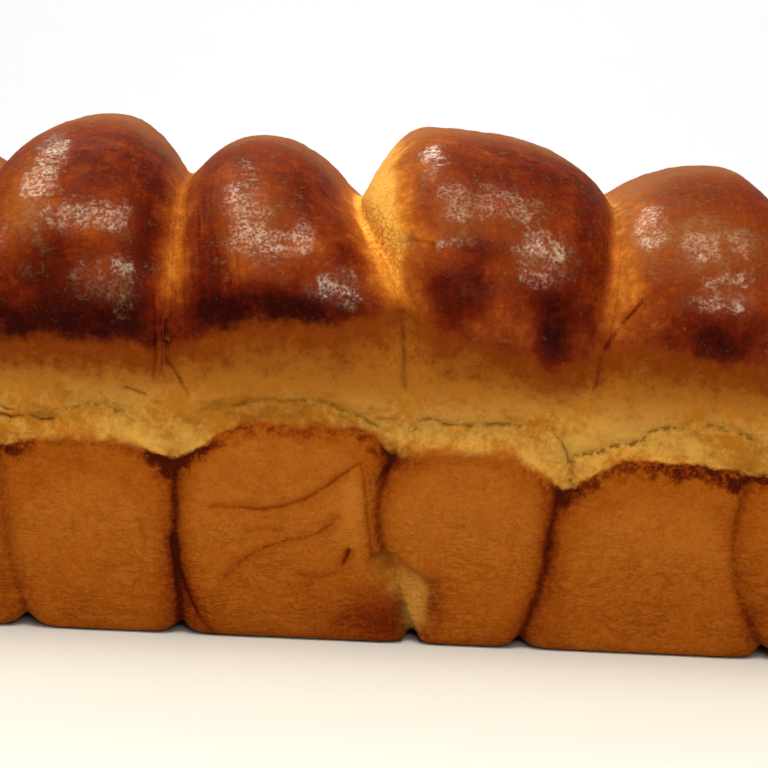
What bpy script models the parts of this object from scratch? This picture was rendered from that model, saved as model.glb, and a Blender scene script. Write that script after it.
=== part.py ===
"""Pan-baked challah loaf: six dough rolls set side by side across a long tin, risen and baked into one bread.

Units in this file are millimetres until scaled by MM. X runs along the loaf, Y across it with the front at
-Y, and Z up. The origin is the middle of the flat base.
"""
import bmesh
import bpy
import numpy as np
from mathutils import Vector, noise

MM = 0.001

# The tin: how far the loaf reaches to each side of its middle, at the base, at the rim and above it.
BASE_HALF_WIDTH = 51.0
RIM_HALF_WIDTH = 56.0
BELLY_HALF_WIDTH = 62.5
BASE_HALF_LENGTH = 143.0
RIM_HALF_LENGTH = 148.0
BELLY_HALF_LENGTH = 153.0
RIM_HEIGHT = 50.0
BELLY_HEIGHT = 80.0
NOTCH_HEIGHT = 110.0

# The torn band above the rim, where the rising dough broke its skin.
TEAR_DEPTH = 1.8
TEAR_TOP = 62.0

# Where neighbouring rolls meet on the front face: X at each of these heights, one line for each seam.
SEAM_HEIGHTS = (0.0, 20.0, 35.0, 48.0, 62.0, 85.0, 110.0)
SEAMS = (
    (-88.5, -93.5, -95.8, -97.5, -99.0, -102.5, -106.4),
    (-50.0, -51.8, -52.6, -53.2, -54.0, -54.5, -55.6),
    (8.0, 0.5, -2.5, 0.2, 2.0, 1.0, -10.8),
    (34.0, 39.5, 41.0, 43.2, 47.0, 52.3, 55.0),
    (97.0, 87.5, 86.5, 89.0, 91.5, 97.0, 101.2),
)
# How far the dome on its left and the one on its right stand back from each seam, once they part.
SEAM_PARTING = ((0.6, 1.0), (-0.7, -0.9), (3.6, 0.4), (0.1, 0.3), (2.3, 0.8))
# How far each seam has drifted along the loaf by the time it reaches the back face.
SEAM_DRIFT = (4.0, -5.0, 3.5, -4.0, -3.0)

# Each roll: X and Z of its crest, how square its dome is seen from the front, how round its two lower corners
# are, and how far its rim line stands above or below RIM_HEIGHT.
ROLLS = (
    {"crest": (-131.0, 120.5), "squareness": 2.2, "foot": 8.0, "rim": 0.5},
    {"crest": (-78.1, 128.0), "squareness": 2.1, "foot": 7.0, "rim": 0.3},
    {"crest": (-36.8, 124.2), "squareness": 2.1, "foot": 5.5, "rim": 5.5},
    {"crest": (9.5, 128.2), "squareness": 2.6, "foot": 5.5, "rim": 0.5},
    {"crest": (82.5, 120.8), "squareness": 2.2, "foot": 6.5, "rim": 0.5},
    {"crest": (127.5, 117.5), "squareness": 2.2, "foot": 8.0, "rim": 0.0},
)
# The same at the seams, where the torn band dips between two rolls.
RIM_DIP = (-3.0, -4.5, -1.0, -8.0, -2.0)

# Webs of crumb that bridge the valleys between two domes: radius, and height of the web's middle.
WEBS = ((4.0, 103.0), (4.0, 101.5), (7.5, 102.5), (4.0, 104.0), (4.5, 99.0))
# Each web arches from front to back: its reach as a share of the half width, how far below the belly it ends,
# how square its arch is, and how much thinner it gets towards its ends.
WEB_REACH = 0.80
WEB_FOOT_DROP = 4.0
WEB_SQUARENESS = 2.4
WEB_TAPER = 0.55
WEB_POINTS = 13

# How square a roll is seen from above: in the tin, at its belly and at its top, and at the ends of the loaf.
PAN_SQUARENESS = 16.0
BELLY_SQUARENESS = 5.0
TOP_SQUARENESS = 2.6
END_SQUARENESS = 5.5
DOME_DEPTH_SQUARENESS = 2.3

# Radius of the loaf's long lower edges, which lay against the bottom of the tin.
FOOT_EDGE = 2.5

# How far a roll reaches past its seams inside its neighbour, as a share of its half length.
PAN_OVERLAP = 0.04

# Hand-shaped dough: how far a point of the surface wanders, and the span of one bulge. Then the same for the
# rougher torn band.
UNEVENNESS = 1.2
UNEVEN_SPAN = 34.0
TEAR_CRAG = 0.9
CRAG_SPAN = 7.0
# Where in the noise the push along X, Y and Z is read: three places far apart, so that the three differ.
NOISE_PLACES = ((390.3, 157.5, -125.0), (381.0, 159.0, -117.0), (387.3, 159.2, -119.7))

# Points around a roll, how strongly they gather at its corners, the heights of its rows of points up to the
# belly, and from there each row's share of the way to the crest.
AROUND = 44
CORNER_SHARE = 0.15
BODY_HEIGHTS = (
    0.0, 0.0, 0.6, 2.5, 6.0, 12.0, 22.0, 33.0, 42.0, 48.0, 50.0, 52.0, 55.0, 59.0, 64.0, 71.5, 80.0,
)
DOME_STEPS = (0.12, 0.25, 0.38, 0.50, 0.61, 0.71, 0.80, 0.87, 0.925, 0.965, 0.99, 1.0)

CRUST_BROWN = (0.30, 0.085, 0.015, 1.0)


def clear_scene():
    for obj in list(bpy.data.objects):
        bpy.data.objects.remove(obj, do_unlink=True)


def baked_crust():
    material = bpy.data.materials.new("baked_crust")
    material.use_nodes = True
    shader = material.node_tree.nodes["Principled BSDF"]
    shader.inputs["Base Color"].default_value = CRUST_BROWN
    shader.inputs["Roughness"].default_value = 0.4
    shader.inputs["Metallic"].default_value = 0.0
    return material


def blend(a, b, share):
    return a + (b - a) * share


def ease(low, high, at):
    """0 below low, 1 above high, and a smooth rise between them."""
    t = np.clip((at - low) / (high - low), 0.0, 1.0)
    return t * t * (3.0 - 2.0 * t)


def smooth_line(stations, values, at):
    """A smooth line through a few hand-set values, read at any place between them."""
    stations = np.asarray(stations, float)
    values = np.asarray(values, float)
    slopes = np.gradient(values, stations)
    i = np.clip(np.searchsorted(stations, at) - 1, 0, len(stations) - 2)
    span = stations[i + 1] - stations[i]
    t = np.clip((at - stations[i]) / span, 0.0, 1.0)
    rise = values[i + 1] - values[i]
    start, end = slopes[i] * span, slopes[i + 1] * span
    return values[i] + t * (start + t * ((3.0 * rise - 2.0 * start - end) + t * (start + end - 2.0 * rise)))


def seam_x(seam, height, across):
    """X of a seam at a height. across is 0 on the front and 1 on the back. Seams 0 and 6 are the ends."""
    if 0 < seam < len(ROLLS):
        drift = SEAM_DRIFT[seam - 1] * ease(0.4, 1.0, across)
        return smooth_line(SEAM_HEIGHTS, SEAMS[seam - 1], height) + drift
    side = -1.0 if seam == 0 else 1.0
    reach = smooth_line(
        (0.0, RIM_HEIGHT, BELLY_HEIGHT, NOTCH_HEIGHT),
        (BASE_HALF_LENGTH, RIM_HALF_LENGTH, BELLY_HALF_LENGTH, BELLY_HALF_LENGTH),
        height,
    )
    return side * reach


def half_width(height):
    """Half the loaf's width at a height: the tin's sloping wall, the torn band, then the belly above it."""
    tin = blend(BASE_HALF_WIDTH, RIM_HALF_WIDTH, np.clip(height / RIM_HEIGHT, 0.0, 1.0))
    swell = (BELLY_HALF_WIDTH - RIM_HALF_WIDTH) * ease(RIM_HEIGHT - 2.0, BELLY_HEIGHT, height)
    deepest = RIM_HEIGHT + 1.5
    tear = TEAR_DEPTH * ease(RIM_HEIGHT - 1.0, deepest, height) * (1.0 - ease(deepest, TEAR_TOP, height))
    return tin + swell - tear


def rim_shift(x):
    """How far the rim line stands above or below RIM_HEIGHT at a place along the loaf."""
    stations = [-BELLY_HALF_LENGTH]
    shifts = [ROLLS[0]["rim"]]
    for k, roll in enumerate(ROLLS):
        left = SEAMS[k - 1][3] if k > 0 else -BELLY_HALF_LENGTH
        right = SEAMS[k][3] if k < len(SEAMS) else BELLY_HALF_LENGTH
        stations += [blend(left, right, 0.3), blend(left, right, 0.7)]
        shifts += [roll["rim"], roll["rim"]]
        if k < len(SEAMS):
            stations.append(right)
            shifts.append(RIM_DIP[k])
    stations.append(BELLY_HALF_LENGTH)
    shifts.append(ROLLS[-1]["rim"])
    return np.interp(x, stations, shifts)


def outline(turn, squareness):
    """A point of a superellipse of half sides 1, in the direction of an angle."""
    c, s = np.cos(turn), np.sin(turn)
    size = (np.abs(c) ** squareness + np.abs(s) ** squareness) ** (1.0 / squareness)
    return c / size, s / size


def rounding(radius, z):
    """How far a rounded lower edge draws a side in at height z."""
    drop = np.clip(radius - z, 0.0, radius)
    return radius - np.sqrt(radius * radius - drop * drop)


def roll_points(k, sphere):
    """Moves the points of a unit sphere with poles on Z to the surface of roll k."""
    roll = ROLLS[k]
    crest_x, crest_z = roll["crest"]
    steps = len(BODY_HEIGHTS) + len(DOME_STEPS) - 1
    level = np.rint((np.arcsin(np.clip(sphere[:, 2], -1.0, 1.0)) / np.pi + 0.5) * steps).astype(int)
    dome = np.array([0.0] * len(BODY_HEIGHTS) + list(DOME_STEPS))[level]
    heights = list(BODY_HEIGHTS) + [blend(BELLY_HEIGHT, crest_z, step) for step in DOME_STEPS]
    z = np.array(heights)[level]

    # More of the points around go to the corners, where the seams lie.
    turn = np.arctan2(sphere[:, 1], sphere[:, 0])
    turn = turn + CORNER_SHARE * np.sin(4.0 * turn) * (1.0 - dome)

    low = ease(RIM_HEIGHT - 4.0, BELLY_HEIGHT, z)
    middle = blend(blend(PAN_SQUARENESS, BELLY_SQUARENESS, low), TOP_SQUARENESS, dome)
    at_end = blend(END_SQUARENESS, TOP_SQUARENESS, dome)
    right = np.cos(turn) > 0.0
    outer = (right & (k == len(ROLLS) - 1)) | (~right & (k == 0))
    u, v = outline(turn, np.where(outer, at_end, middle))

    # The lower edges are rounded, and the underside is one flat disc.
    depth = (1.0 - dome ** DOME_DEPTH_SQUARENESS) ** (1.0 / DOME_DEPTH_SQUARENESS)
    y = v * (half_width(z) * depth - rounding(FOOT_EDGE, z))

    across = 0.5 + 0.5 * y / BELLY_HALF_WIDTH
    parting = ease(BELLY_HEIGHT + 4.0, NOTCH_HEIGHT, z)
    left_x = seam_x(k, z, across) + (SEAM_PARTING[k - 1][1] * parting if k > 0 else 0.0)
    right_x = seam_x(k + 1, z, across) - (SEAM_PARTING[k][0] * parting if k < len(SEAMS) else 0.0)
    axis = blend(0.5 * (left_x + right_x), crest_x, dome ** 4)
    notch = (NOTCH_HEIGHT - BELLY_HEIGHT) / (crest_z - BELLY_HEIGHT)
    square = roll["squareness"]
    at_notch = (1.0 - notch ** square) ** (1.0 / square)
    swell = blend(1.0 + PAN_OVERLAP, 1.0 / at_notch, low)
    swell = np.where(outer, 1.0, swell)
    reach = np.where(right, right_x - axis, axis - left_x) * swell
    arch = (1.0 - dome ** square) ** (1.0 / square)
    x = axis + u * (reach * arch - rounding(roll["foot"], z))

    # The underside is flat out to its rounded edge, and its middle point closes it.
    closing = level == 0
    x = np.where(closing, axis, x)
    y = np.where(closing, 0.0, y)

    # The rim line rises and dips, and takes what is near it along.
    near_rim = ease(8.0, RIM_HEIGHT - 4.0, z) * (1.0 - ease(TEAR_TOP - 4.0, BELLY_HEIGHT, z))
    z = z + rim_shift(x) * near_rim
    return np.column_stack([x, y, z])


def wander(place, span):
    """A push between -1 and 1 along each axis that changes smoothly from place to place."""
    return np.array([noise.noise(Vector(place) / span + Vector(start)) for start in NOISE_PLACES])


def uneven(points):
    """Hand-shaped dough isn't quite regular: every point wanders a little, apart from the flat underside."""
    height = points[:, 2]
    torn = ease(RIM_HEIGHT, RIM_HEIGHT + 3.0, height) * (1.0 - ease(TEAR_TOP, TEAR_TOP + 6.0, height))
    free = np.clip(height / 12.0, 0.0, 1.0)
    moved = points.copy()
    for i, p in enumerate(points):
        bulge = wander(p, UNEVEN_SPAN) * UNEVENNESS * free[i]
        crag = wander(p, CRAG_SPAN) * TEAR_CRAG * torn[i]
        moved[i] = p + bulge + crag
    return moved


def make_roll(k, collection):
    steps = len(BODY_HEIGHTS) + len(DOME_STEPS) - 1
    bm = bmesh.new()
    bmesh.ops.create_uvsphere(bm, u_segments=AROUND, v_segments=steps, radius=1.0)
    sphere = np.array([v.co for v in bm.verts])
    for vert, place in zip(bm.verts, uneven(roll_points(k, sphere)) * MM):
        vert.co = place
    bmesh.ops.recalc_face_normals(bm, faces=bm.faces)
    mesh = bpy.data.meshes.new(f"roll_{k}")
    bm.to_mesh(mesh)
    bm.free()
    obj = bpy.data.objects.new(f"roll_{k}", mesh)
    collection.objects.link(obj)
    return obj


def make_web(seam, collection):
    """A rope of crumb that lies in the valley between two domes, from the front over the top to the back."""
    radius, top = WEBS[seam]
    half = WEB_REACH * BELLY_HALF_WIDTH
    foot = BELLY_HEIGHT - WEB_FOOT_DROP
    curve = bpy.data.curves.new(f"web_{seam}", "CURVE")
    curve.dimensions = "3D"
    curve.bevel_depth = radius * MM
    curve.bevel_resolution = 2
    curve.use_fill_caps = True
    spline = curve.splines.new("POLY")
    spline.points.add(WEB_POINTS - 1)
    for i, point in enumerate(spline.points):
        share = 2.0 * i / (WEB_POINTS - 1) - 1.0
        y = half * share
        z = blend(foot, top, (1.0 - abs(share) ** WEB_SQUARENESS) ** (1.0 / WEB_SQUARENESS))
        x = seam_x(seam + 1, np.array([z]), np.array([0.5 + 0.5 * share]))[0]
        point.co = (x * MM, y * MM, z * MM, 1.0)
        point.radius = 1.0 - WEB_TAPER * share * share
    rope = bpy.data.objects.new(f"web_{seam}", curve)
    collection.objects.link(rope)
    bpy.context.view_layer.update()
    graph = bpy.context.evaluated_depsgraph_get()
    mesh = bpy.data.meshes.new_from_object(rope.evaluated_get(graph))
    bpy.data.objects.remove(rope, do_unlink=True)
    bm = bmesh.new()
    bm.from_mesh(mesh)
    bmesh.ops.remove_doubles(bm, verts=bm.verts, dist=0.00001)
    bmesh.ops.recalc_face_normals(bm, faces=bm.faces)
    bm.to_mesh(mesh)
    bm.free()
    web = bpy.data.objects.new(f"web_{seam}", mesh)
    collection.objects.link(web)
    return web


def join_loaf(first, others, name):
    """One Boolean union makes the rolls and webs a single bread."""
    union = first.modifiers.new("union", "BOOLEAN")
    union.operation = "UNION"
    union.operand_type = "COLLECTION"
    union.collection = others
    union.solver = "EXACT"
    bpy.context.view_layer.update()
    graph = bpy.context.evaluated_depsgraph_get()
    mesh = bpy.data.meshes.new_from_object(first.evaluated_get(graph))
    for obj in list(others.objects) + [first]:
        bpy.data.objects.remove(obj, do_unlink=True)
    bpy.data.collections.remove(others)
    mesh.name = name
    return mesh


def centre_on_base(mesh):
    """Puts the origin at the middle of the loaf's box, on its base."""
    points = np.array([v.co for v in mesh.vertices])
    low, high = points.min(axis=0), points.max(axis=0)
    shift = -0.5 * (low + high)
    shift[2] = -low[2]
    for vert in mesh.vertices:
        vert.co = vert.co + Vector(shift)
    print("moved onto its origin by, mm:", [round(float(s) / MM, 2) for s in shift])


def main():
    clear_scene()
    loaf_parts = bpy.data.collections.new("challah")
    bpy.context.scene.collection.children.link(loaf_parts)
    others = bpy.data.collections.new("joined")
    bpy.context.scene.collection.children.link(others)
    first = make_roll(0, loaf_parts)
    for k in range(1, len(ROLLS)):
        make_roll(k, others)
    for seam in range(len(SEAMS)):
        make_web(seam, others)
    mesh = join_loaf(first, others, "loaf")
    centre_on_base(mesh)
    mesh.materials.clear()
    mesh.materials.append(baked_crust())
    mesh.shade_smooth()
    loaf = bpy.data.objects.new("loaf", mesh)
    loaf_parts.objects.link(loaf)


main()
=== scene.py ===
# %% [markdown]
# # A challah baked in a long tin
#
# Six rolls of egg dough lie side by side across a long tin. They rise against the walls and against each
# other, so the loaf has flat matte sides up to the rim, a torn pale band just above it, and domed tops that
# shine, because they were brushed with egg. This notebook dresses a plain solid of that loaf: it builds the
# bread again as a fine mesh, works the tears, creases and wrinkles into it, and paints it with one
# procedural crust.
#
# All sizes are millimetres until a mesh is written in metres. X runs along the loaf, Y across it with the
# front at -Y, and Z up from the flat underside.

# %% Load the frame
import math

import bmesh
import bpy
import numpy as np
from mathutils import Matrix, Vector, noise


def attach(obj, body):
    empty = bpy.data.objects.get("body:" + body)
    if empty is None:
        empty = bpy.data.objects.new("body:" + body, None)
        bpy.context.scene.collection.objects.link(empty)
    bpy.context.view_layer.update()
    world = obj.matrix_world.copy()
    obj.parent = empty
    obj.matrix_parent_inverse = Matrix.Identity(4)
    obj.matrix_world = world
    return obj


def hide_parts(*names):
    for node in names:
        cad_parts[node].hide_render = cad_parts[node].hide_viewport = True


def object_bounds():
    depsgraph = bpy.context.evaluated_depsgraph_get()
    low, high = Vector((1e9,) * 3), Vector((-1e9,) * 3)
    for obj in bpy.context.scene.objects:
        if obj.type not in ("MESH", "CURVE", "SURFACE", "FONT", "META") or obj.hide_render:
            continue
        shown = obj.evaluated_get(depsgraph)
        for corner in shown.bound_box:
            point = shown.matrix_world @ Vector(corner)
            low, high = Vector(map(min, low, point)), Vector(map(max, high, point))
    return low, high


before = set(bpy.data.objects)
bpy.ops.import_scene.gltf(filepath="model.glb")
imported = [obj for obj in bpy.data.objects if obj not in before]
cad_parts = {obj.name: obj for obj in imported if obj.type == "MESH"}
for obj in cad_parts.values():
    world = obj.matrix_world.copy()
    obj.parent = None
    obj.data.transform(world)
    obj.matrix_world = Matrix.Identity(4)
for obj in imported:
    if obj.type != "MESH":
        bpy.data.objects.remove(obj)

MM = 0.001
solid_low, solid_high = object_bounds()
box_low = np.array(solid_low) / MM
box_high = np.array(solid_high) / MM
print("solid loaf, mm:", np.round(box_low, 1), np.round(box_high, 1))

# %% [markdown]
# ## Where the camera stands
#
# The photograph was taken from the front, a little above the loaf, from about an arm's length, and the
# picture leans slightly, so the loaf sinks towards the right. The camera is placed first, from four
# numbers: its height angle, its distance, the point it looks at and the lean. The lens follows from how
# wide the loaf is seen.

# %% Place the camera
CAMERA_ELEVATION = math.radians(8.0)
CAMERA_DISTANCE = 580.0
CAMERA_AIM = Vector((-2.2, 0.0, 58.7))
CAMERA_LEAN = math.atan(0.045)
CAMERA_LENS = 100.6

back = Vector((0.0, -math.cos(CAMERA_ELEVATION), math.sin(CAMERA_ELEVATION)))
up = Vector((0.0, math.sin(CAMERA_ELEVATION), math.cos(CAMERA_ELEVATION)))
right = Vector((1.0, 0.0, 0.0))
leaning_right = right * math.cos(CAMERA_LEAN) + up * math.sin(CAMERA_LEAN)
leaning_up = up * math.cos(CAMERA_LEAN) - right * math.sin(CAMERA_LEAN)

camera_data = bpy.data.cameras.new("camera")
camera_data.lens = CAMERA_LENS
camera_data.sensor_width = 36.0
camera_data.clip_start = 0.01
camera = bpy.data.objects.new("camera", camera_data)
turn = Matrix((leaning_right, leaning_up, back)).transposed()
camera.matrix_world = Matrix.Translation((CAMERA_AIM + back * CAMERA_DISTANCE) * MM) @ turn.to_4x4()
bpy.context.scene.collection.objects.link(camera)
bpy.context.scene.camera = camera
print("camera stands at, m:", [round(v, 3) for v in camera.location])

# %% [markdown]
# ## The loaf's sizes
#
# These are the sizes the solid was made from. The tin gives the straight walls and the rim height. Each
# seam between two rolls is a line up the front face, given by its place along the loaf at a few heights,
# and each roll has a crest of its own, because no two rolls of hand-shaped dough rise alike.

# %% Sizes of the tin, the seams and the rolls
BASE_HALF_WIDTH = 51.0
RIM_HALF_WIDTH = 56.0
BELLY_HALF_WIDTH = 62.5
BASE_HALF_LENGTH = 143.0
RIM_HALF_LENGTH = 148.0
BELLY_HALF_LENGTH = 153.0
RIM_HEIGHT = 50.0
BELLY_HEIGHT = 80.0
NOTCH_HEIGHT = 110.0
TEAR_DEPTH = 1.8
TEAR_TOP = 62.0

SEAM_HEIGHTS = (0.0, 20.0, 35.0, 48.0, 62.0, 85.0, 110.0)
SEAMS = (
    (-88.5, -93.5, -95.8, -97.5, -99.0, -102.5, -106.4),
    (-50.0, -51.8, -52.6, -53.2, -54.0, -54.5, -55.6),
    (8.0, 0.5, -2.5, 0.2, 2.0, 1.0, -10.8),
    (34.0, 39.5, 41.0, 43.2, 47.0, 52.3, 55.0),
    (97.0, 87.5, 86.5, 89.0, 91.5, 97.0, 101.2),
)
SEAM_DRIFT = (4.0, -5.0, 3.5, -4.0, -3.0)
# How far the roll on the left and the roll on the right draw back from each seam above the tin.
SEAM_PARTING = ((0.6, 1.0), (-0.7, -0.9), (3.6, 0.4), (0.1, 0.3), (2.3, 0.8))

# The crest is a place along the loaf and a height.
ROLLS = (
    {"crest": (-131.0, 120.5), "squareness": 2.2, "foot": 8.0, "rim": 0.5},
    {"crest": (-78.1, 128.0), "squareness": 2.1, "foot": 7.0, "rim": 0.3},
    {"crest": (-36.8, 124.2), "squareness": 2.1, "foot": 5.5, "rim": 5.5},
    {"crest": (9.5, 128.2), "squareness": 2.6, "foot": 5.5, "rim": 0.5},
    {"crest": (82.5, 120.8), "squareness": 2.2, "foot": 6.5, "rim": 0.5},
    {"crest": (127.5, 117.5), "squareness": 2.2, "foot": 8.0, "rim": 0.0},
)
RIM_DIP = (-3.0, -4.5, -1.0, -8.0, -2.0)

# The radius and the top height of the web in each valley.
WEBS = ((4.0, 103.0), (4.0, 101.5), (7.5, 102.5), (4.0, 104.0), (4.5, 99.0))
WEB_REACH = 0.80
WEB_FOOT_DROP = 4.0
WEB_SQUARENESS = 2.4
WEB_TAPER = 0.55
WEB_STEPS = 40

PAN_SQUARENESS = 16.0
BELLY_SQUARENESS = 5.0
TOP_SQUARENESS = 2.6
END_SQUARENESS = 5.5
DOME_DEPTH_SQUARENESS = 2.3
FOOT_EDGE = 2.5
PAN_OVERLAP = 0.04
UNEVENNESS = 1.2
UNEVEN_SPAN = 34.0
NOISE_PLACES = ((390.3, 157.5, -125.0), (381.0, 159.0, -117.0), (387.3, 159.2, -119.7))
print("rolls:", len(ROLLS), "seams:", len(SEAMS))

# %% [markdown]
# ## Lines that follow a few hand-set values
#
# Three small helpers carry all the shapes: a blend between two values, an eased step, and a smooth line
# through a handful of values. A smooth line keeps the file short: seven numbers describe a whole seam.


# %% Helpers for blending
def blend(a, b, share):
    return a + (b - a) * share


def ease(low, high, at):
    """0 below low, 1 above high, and a smooth rise between them."""
    t = np.clip((at - low) / (high - low), 0.0, 1.0)
    return t * t * (3.0 - 2.0 * t)


def smooth_line(stations, values, at):
    """A smooth line through a few hand-set values, read at any place between them."""
    stations = np.asarray(stations, float)
    values = np.asarray(values, float)
    slopes = np.gradient(values, stations)
    i = np.clip(np.searchsorted(stations, at) - 1, 0, len(stations) - 2)
    span = stations[i + 1] - stations[i]
    t = np.clip((at - stations[i]) / span, 0.0, 1.0)
    rise = values[i + 1] - values[i]
    start, end = slopes[i] * span, slopes[i + 1] * span
    return values[i] + t * (start + t * ((3.0 * rise - 2.0 * start - end) + t * (start + end - 2.0 * rise)))


# %% [markdown]
# ## The tin's walls, the seams and the rim
#
# Everything below the rim copies the tin: a wall that leans out a little. Above the rim the dough is free
# and swells, and right at the rim its skin tore, which leaves a shallow step. The rim line isn't level: it
# climbs over the middle of a roll and dips at a seam, where less dough pushed up.


# %% Functions for the walls and seams
def seam_x(seam, height, across):
    """X of a seam at a height. across is 0 in front and 1 at the back. Seams 0 and 6 are the loaf's ends."""
    if 0 < seam < len(ROLLS):
        drift = SEAM_DRIFT[seam - 1] * ease(0.4, 1.0, across)
        return smooth_line(SEAM_HEIGHTS, SEAMS[seam - 1], height) + drift
    side = -1.0 if seam == 0 else 1.0
    heights = (0.0, RIM_HEIGHT, BELLY_HEIGHT, NOTCH_HEIGHT)
    lengths = (BASE_HALF_LENGTH, RIM_HALF_LENGTH, BELLY_HALF_LENGTH, BELLY_HALF_LENGTH)
    return side * smooth_line(heights, lengths, height)


def half_width(height):
    """Half the loaf's width at a height: the tin's sloping wall, the torn band, then the belly above it."""
    tin = blend(BASE_HALF_WIDTH, RIM_HALF_WIDTH, np.clip(height / RIM_HEIGHT, 0.0, 1.0))
    swell = (BELLY_HALF_WIDTH - RIM_HALF_WIDTH) * ease(RIM_HEIGHT - 2.0, BELLY_HEIGHT, height)
    deepest = RIM_HEIGHT + 1.5
    tear = TEAR_DEPTH * ease(RIM_HEIGHT - 1.0, deepest, height) * (1.0 - ease(deepest, TEAR_TOP, height))
    return tin + swell - tear


def rim_shift(x):
    """How far the rim line stands above or below RIM_HEIGHT at a place along the loaf."""
    stations = [-BELLY_HALF_LENGTH]
    shifts = [ROLLS[0]["rim"]]
    for k, roll in enumerate(ROLLS):
        left = SEAMS[k - 1][3] if k > 0 else -BELLY_HALF_LENGTH
        right = SEAMS[k][3] if k < len(SEAMS) else BELLY_HALF_LENGTH
        stations += [blend(left, right, 0.3), blend(left, right, 0.7)]
        shifts += [roll["rim"], roll["rim"]]
        if k < len(SEAMS):
            stations.append(right)
            shifts.append(RIM_DIP[k])
    stations.append(BELLY_HALF_LENGTH)
    shifts.append(ROLLS[-1]["rim"])
    return np.interp(x, stations, shifts)


def rounding(radius, z):
    """How far a rounded lower edge draws a side in at height z."""
    drop = np.clip(radius - z, 0.0, radius)
    return radius - np.sqrt(radius * radius - drop * drop)


# %% [markdown]
# ## One roll
#
# A roll is a stack of level sections. Each section is a superellipse, a shape between an ellipse and a
# rectangle: nearly a rectangle in the tin, rounder above it. A UV sphere already has its points in level
# rings, so each ring is simply moved to the outline of its section. That keeps the roll closed at both
# poles.

# %% A sphere whose points lie in level rings
ROWS_BODY = 92
ROWS_DOME = 46
AROUND = 200


def unit_sphere():
    bm = bmesh.new()
    bmesh.ops.create_uvsphere(bm, u_segments=AROUND, v_segments=ROWS_BODY + ROWS_DOME, radius=1.0)
    mesh = bpy.data.meshes.new("sphere")
    bm.to_mesh(mesh)
    bm.free()
    points = np.zeros(len(mesh.vertices) * 3)
    mesh.vertices.foreach_get("co", points)
    return mesh, points.reshape(-1, 3)


# %% Shape a roll
CORNER_SHARE = 0.15


def outline(turn, squareness):
    """A point of a superellipse of half sides 1, in the direction of an angle."""
    c, s = np.cos(turn), np.sin(turn)
    size = (np.abs(c) ** squareness + np.abs(s) ** squareness) ** (1.0 / squareness)
    return c / size, s / size


def roll_points(k, sphere):
    """Moves the points of a unit sphere with poles on Z to the surface of roll k."""
    roll = ROLLS[k]
    crest_x, crest_z = roll["crest"]
    rows = ROWS_BODY + ROWS_DOME
    level = np.rint((np.arcsin(np.clip(sphere[:, 2], -1.0, 1.0)) / np.pi + 0.5) * rows).astype(int)
    climb = np.sin(np.linspace(0.0, 0.5 * np.pi, ROWS_DOME + 1))
    body = np.concatenate([[0.0], np.linspace(0.0, BELLY_HEIGHT, ROWS_BODY)])
    z = np.concatenate([body, blend(BELLY_HEIGHT, crest_z, climb[1:])])[level]
    dome = np.concatenate([np.zeros(ROWS_BODY + 1), climb[1:]])[level]

    turn = np.arctan2(sphere[:, 1], sphere[:, 0])
    turn = turn + CORNER_SHARE * np.sin(4.0 * turn) * (1.0 - dome)
    low = ease(RIM_HEIGHT - 4.0, BELLY_HEIGHT, z)
    middle = blend(blend(PAN_SQUARENESS, BELLY_SQUARENESS, low), TOP_SQUARENESS, dome)
    at_end = blend(END_SQUARENESS, TOP_SQUARENESS, dome)
    right = np.cos(turn) > 0.0
    outer = (right & (k == len(ROLLS) - 1)) | (~right & (k == 0))
    u, v = outline(turn, np.where(outer, at_end, middle))

    depth = (1.0 - dome ** DOME_DEPTH_SQUARENESS) ** (1.0 / DOME_DEPTH_SQUARENESS)
    y = v * (half_width(z) * depth - rounding(FOOT_EDGE, z))
    across = 0.5 + 0.5 * y / BELLY_HALF_WIDTH
    parting = ease(BELLY_HEIGHT + 4.0, NOTCH_HEIGHT, z)
    left_x = seam_x(k, z, across) + (SEAM_PARTING[k - 1][1] * parting if k > 0 else 0.0)
    right_x = seam_x(k + 1, z, across) - (SEAM_PARTING[k][0] * parting if k < len(SEAMS) else 0.0)
    axis = blend(0.5 * (left_x + right_x), crest_x, dome ** 4)
    notch = (NOTCH_HEIGHT - BELLY_HEIGHT) / (crest_z - BELLY_HEIGHT)
    square = roll["squareness"]
    at_notch = (1.0 - notch ** square) ** (1.0 / square)
    swell = np.where(outer, 1.0, blend(1.0 + PAN_OVERLAP, 1.0 / at_notch, low))
    reach = np.where(right, right_x - axis, axis - left_x) * swell
    arch = (1.0 - dome ** square) ** (1.0 / square)
    x = axis + u * (reach * arch - rounding(roll["foot"], z))

    closing = level == 0
    x = np.where(closing, axis, x)
    y = np.where(closing, 0.0, y)
    near_rim = ease(8.0, RIM_HEIGHT - 4.0, z) * (1.0 - ease(TEAR_TOP - 4.0, BELLY_HEIGHT, z))
    z = z + rim_shift(x) * near_rim
    return np.column_stack([x, y, z])


def uneven(points):
    """Hand-shaped dough isn't quite regular: every point wanders a little, apart from the flat underside."""
    free = np.clip(points[:, 2] / 12.0, 0.0, 1.0)
    places = [Vector(p) / UNEVEN_SPAN for p in points]
    bulges = [[noise.noise(place + start) for start in map(Vector, NOISE_PLACES)] for place in places]
    return points + np.array(bulges) * UNEVENNESS * free[:, None]


# %% [markdown]
# ## The webs in the valleys
#
# Between two domes the dough stayed joined and stretched into a web of pale crumb. It is a rope laid in the
# valley, from the front over the top to the back, thinner towards its ends. A curve with a round bevel is
# the quickest rope, and it becomes a mesh before it joins the rolls.


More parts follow.
